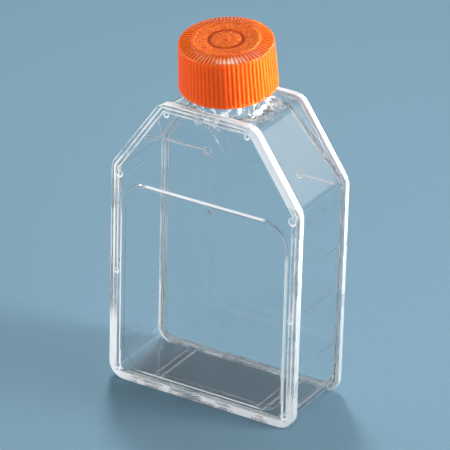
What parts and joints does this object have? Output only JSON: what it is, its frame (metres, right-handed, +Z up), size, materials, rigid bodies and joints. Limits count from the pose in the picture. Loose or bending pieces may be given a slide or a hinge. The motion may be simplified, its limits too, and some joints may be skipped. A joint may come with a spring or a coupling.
{
  "type": "cell culture flask",
  "caption": "Clear rectangular cell culture flask standing on its end, with a welded front plate, sloping shoulders, a canted threaded neck and a ribbed orange screw cap.",
  "frame": {"origin": "centre of the base, on the surface the flask stands on", "axes": "+Z up along the flask towards the neck, -Y out of the front plate with the raised panel, +X across the width"},
  "size_m": [0.085, 0.0433, 0.1549],
  "materials": {
    "clear_polystyrene": "clear, glossy, injection moulded",
    "clear_plate": "clear, glossy, injection moulded",
    "cap_polyethylene": "translucent orange, satin",
    "liner_foam": "soft, matt, off-white"
  },
  "bodies": {
    "flask": {"flask_body": "clear_polystyrene", "front_plate": "clear_plate"},
    "seal": {"cap_liner": "liner_foam"},
    "cap": {"screw_cap": "cap_polyethylene"}
  },
  "joints": [
    {"name": "cap_lift", "type": "slide", "parent": "flask", "child": "seal", "axis": [0, -0.1392, 0.9903], "range_m": [0, 0.025]},
    {"name": "cap_turn", "type": "hinge", "parent": "seal", "child": "cap", "pos_m": [0, -0.0019, 0.1239], "axis": [0, -0.1392, 0.9903], "range_deg": [0, 1800]}
  ],
  "couplings": [
    {"joint": "cap_lift", "follows": "cap_turn", "m_per_rad": 0.00079577}
  ]
}
